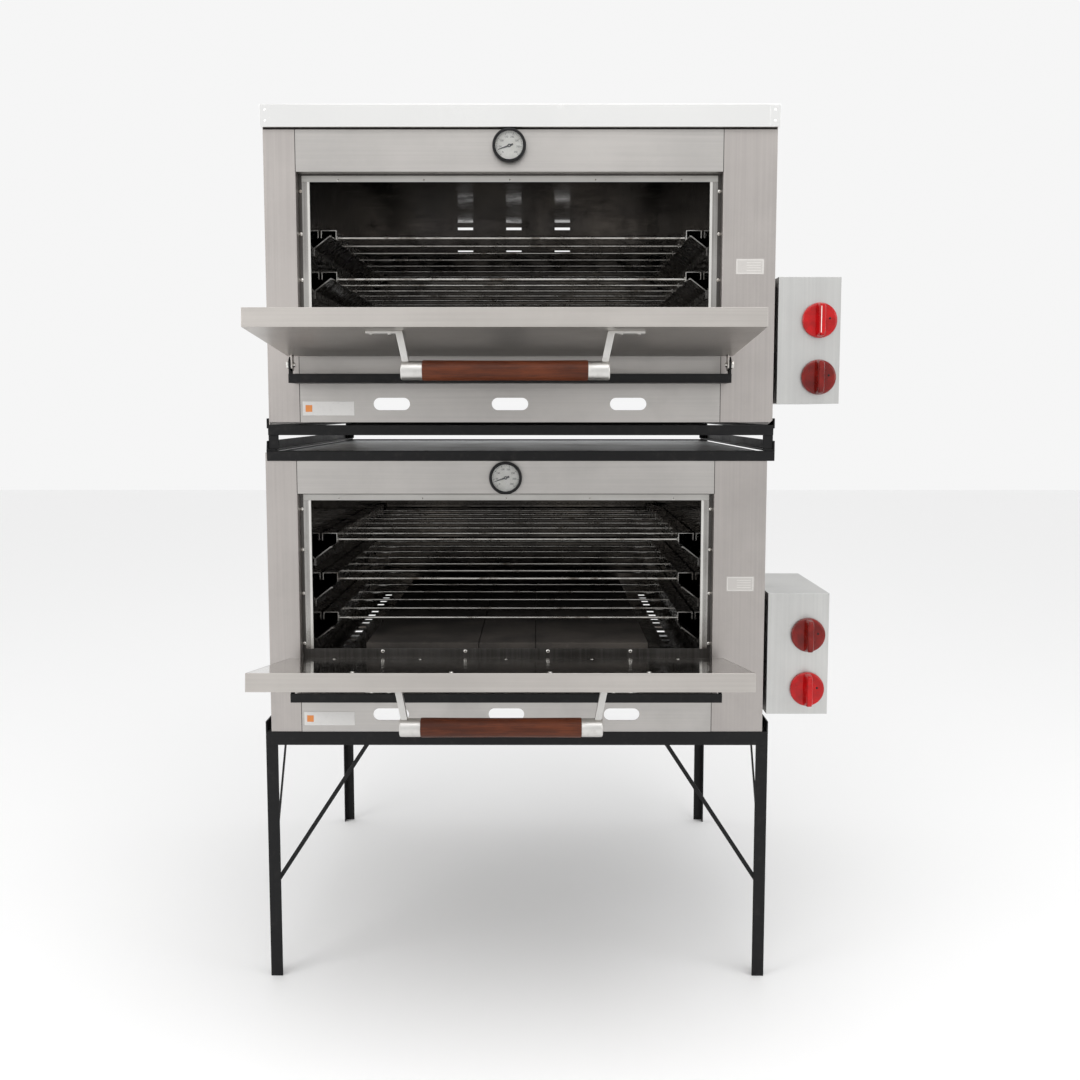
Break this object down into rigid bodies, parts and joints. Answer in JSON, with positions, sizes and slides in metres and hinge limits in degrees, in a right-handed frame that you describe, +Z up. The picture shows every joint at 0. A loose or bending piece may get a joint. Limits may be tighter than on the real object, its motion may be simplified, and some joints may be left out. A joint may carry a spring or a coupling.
{
  "type": "gas deck oven",
  "caption": "Stacked gas deck ovens on an angle-iron stand, with drop-down doors, sliding wire racks and side control boxes.",
  "frame": {"origin": "on the floor, at the middle of the whole object seen from above", "axes": "+Z up, -Y towards the cook (the doors), +X towards the control boxes"},
  "size_m": [1.037, 1.2858, 1.5825],
  "materials": {
    "back_panels": "galvanised sheet",
    "blank_plates": "blank sticker",
    "burners": "dark steel tube and brass fittings",
    "control_box_mounts": "black",
    "hinge_pins": "zinc-plated bolt",
    "insulation": "mineral wool",
    "jamb_screws": "bright screw",
    "lid": "bright polished sheet",
    "chamber_walls": "heat-darkened stainless sheet",
    "control_box": "satin stainless sheet",
    "door_core": "mineral wool",
    "door_inner_panel": "dark steel",
    "door_screws": "bright screw",
    "door_skin": "satin stainless sheet",
    "front_panel": "satin stainless sheet",
    "handle_arms": "satin aluminium",
    "handle_caps": "brushed aluminium",
    "handle_grip": "varnished reddish-brown wood",
    "header_panel": "satin stainless sheet",
    "hinge_ledge": "black satin paint",
    "jamb_frame": "bright stainless strip",
    "knob_dark": "red moulded plastic",
    "knob_bright": "red moulded plastic",
    "rack": "plated wire",
    "side_panels": "satin stainless sheet",
    "thermometer_pointer": "black",
    "rack_guides": "folded dark steel",
    "refractory_tiles": "dark fired refractory",
    "spacer_lower_ring": "black satin paint",
    "spacer_posts": "black satin paint",
    "spacer_upper_ring": "black satin paint",
    "stand_braces": "black satin paint",
    "stand_legs": "black satin paint",
    "stand_rails": "black satin paint",
    "thermometer_cases": "gloss black bezel",
    "thermometer_dials": "white printed dial",
    "thermometer_glasses": "clear flat glass",
    "top_panels": "galvanised sheet"
  },
  "bodies": {
    "casing": {"back_panels": "back_panels", "blank_plates": "blank_plates", "burners": "burners", "control_box_mounts": "control_box_mounts", "hinge_pins": "hinge_pins", "insulation": "insulation", "jamb_screws": "jamb_screws", "lid": "lid", "lower_chamber_walls": "chamber_walls", "lower_control_box": "control_box", "lower_front_panel": "front_panel", "lower_header_panel": "header_panel", "lower_hinge_ledge": "hinge_ledge", "lower_jamb_frame": "jamb_frame", "lower_side_panels": "side_panels", "rack_guides": "rack_guides", "refractory_tiles": "refractory_tiles", "spacer_lower_ring": "spacer_lower_ring", "spacer_posts": "spacer_posts", "spacer_upper_ring": "spacer_upper_ring", "stand_braces": "stand_braces", "stand_legs": "stand_legs", "stand_rails": "stand_rails", "thermometer_cases": "thermometer_cases", "thermometer_dials": "thermometer_dials", "thermometer_glasses": "thermometer_glasses", "top_panels": "top_panels", "upper_chamber_walls": "chamber_walls", "upper_control_box": "control_box", "upper_front_panel": "front_panel", "upper_header_panel": "header_panel", "upper_hinge_ledge": "hinge_ledge", "upper_jamb_frame": "jamb_frame", "upper_side_panels": "side_panels"},
    "lower_door": {"lower_door_core": "door_core", "lower_door_inner_panel": "door_inner_panel", "lower_door_screws": "door_screws", "lower_door_skin": "door_skin", "lower_handle_arms": "handle_arms", "lower_handle_caps": "handle_caps", "lower_handle_grip": "handle_grip"},
    "lower_rack_body_1": {"lower_rack_1": "rack"},
    "lower_rack_body_2": {"lower_rack_2": "rack"},
    "lower_rack_body_3": {"lower_rack_3": "rack"},
    "lower_knob_body_1": {"lower_knob_1": "knob_dark"},
    "lower_knob_body_2": {"lower_knob_2": "knob_bright"},
    "lower_pointer": {"lower_thermometer_pointer": "thermometer_pointer"},
    "upper_door": {"upper_door_core": "door_core", "upper_door_inner_panel": "door_inner_panel", "upper_door_screws": "door_screws", "upper_door_skin": "door_skin", "upper_handle_arms": "handle_arms", "upper_handle_caps": "handle_caps", "upper_handle_grip": "handle_grip"},
    "upper_rack_body_1": {"upper_rack_1": "rack"},
    "upper_rack_body_2": {"upper_rack_2": "rack"},
    "upper_rack_body_3": {"upper_rack_3": "rack"},
    "upper_knob_body_1": {"upper_knob_1": "knob_bright"},
    "upper_knob_body_2": {"upper_knob_2": "knob_dark"},
    "upper_pointer": {"upper_thermometer_pointer": "thermometer_pointer"}
  },
  "joints": [
    {"name": "lower_door_hinge", "type": "hinge", "parent": "casing", "child": "lower_door", "pos_m": [-0.075, -0.3124, 0.568], "axis": [-1, 0, 0], "range_deg": [0, 82.5]},
    {"name": "lower_rack_1_slide", "type": "slide", "parent": "casing", "child": "lower_rack_body_1", "axis": [0, 1, 0], "range_m": [-0.35, 0]},
    {"name": "lower_rack_2_slide", "type": "slide", "parent": "casing", "child": "lower_rack_body_2", "axis": [0, 1, 0], "range_m": [-0.35, 0]},
    {"name": "lower_rack_3_slide", "type": "slide", "parent": "casing", "child": "lower_rack_body_3", "axis": [0, 1, 0], "range_m": [-0.35, 0]},
    {"name": "lower_knob_1_turn", "type": "hinge", "parent": "casing", "child": "lower_knob_body_1", "pos_m": [0.4725, -0.2754, 0.648], "axis": [0, 1, 0], "range_deg": [-180, 0]},
    {"name": "lower_knob_2_turn", "type": "hinge", "parent": "casing", "child": "lower_knob_body_2", "pos_m": [0.4725, -0.2754, 0.548], "axis": [0, 1, 0], "range_deg": [-180, 0]},
    {"name": "lower_pointer_turn", "type": "hinge", "parent": "casing", "child": "lower_pointer", "pos_m": [-0.0765, -0.2734, 0.934], "axis": [0, 1, 0], "range_deg": [-45, 225]},
    {"name": "upper_door_hinge", "type": "hinge", "parent": "casing", "child": "upper_door", "pos_m": [-0.067, -0.3124, 1.133], "axis": [-1, 0, 0], "range_deg": [0, 85.2]},
    {"name": "upper_rack_1_slide", "type": "slide", "parent": "casing", "child": "upper_rack_body_1", "axis": [0, 1, 0], "range_m": [-0.35, 0]},
    {"name": "upper_rack_2_slide", "type": "slide", "parent": "casing", "child": "upper_rack_body_2", "axis": [0, 1, 0], "range_m": [-0.35, 0]},
    {"name": "upper_rack_3_slide", "type": "slide", "parent": "casing", "child": "upper_rack_body_3", "axis": [0, 1, 0], "range_m": [-0.35, 0]},
    {"name": "upper_knob_1_turn", "type": "hinge", "parent": "casing", "child": "upper_knob_body_1", "pos_m": [0.4805, -0.2754, 1.213], "axis": [0, 1, 0], "range_deg": [-180, 0]},
    {"name": "upper_knob_2_turn", "type": "hinge", "parent": "casing", "child": "upper_knob_body_2", "pos_m": [0.4805, -0.2754, 1.113], "axis": [0, 1, 0], "range_deg": [-180, 0]},
    {"name": "upper_pointer_turn", "type": "hinge", "parent": "casing", "child": "upper_pointer", "pos_m": [-0.0685, -0.2734, 1.513], "axis": [0, 1, 0], "range_deg": [-45, 225]}
  ]
}
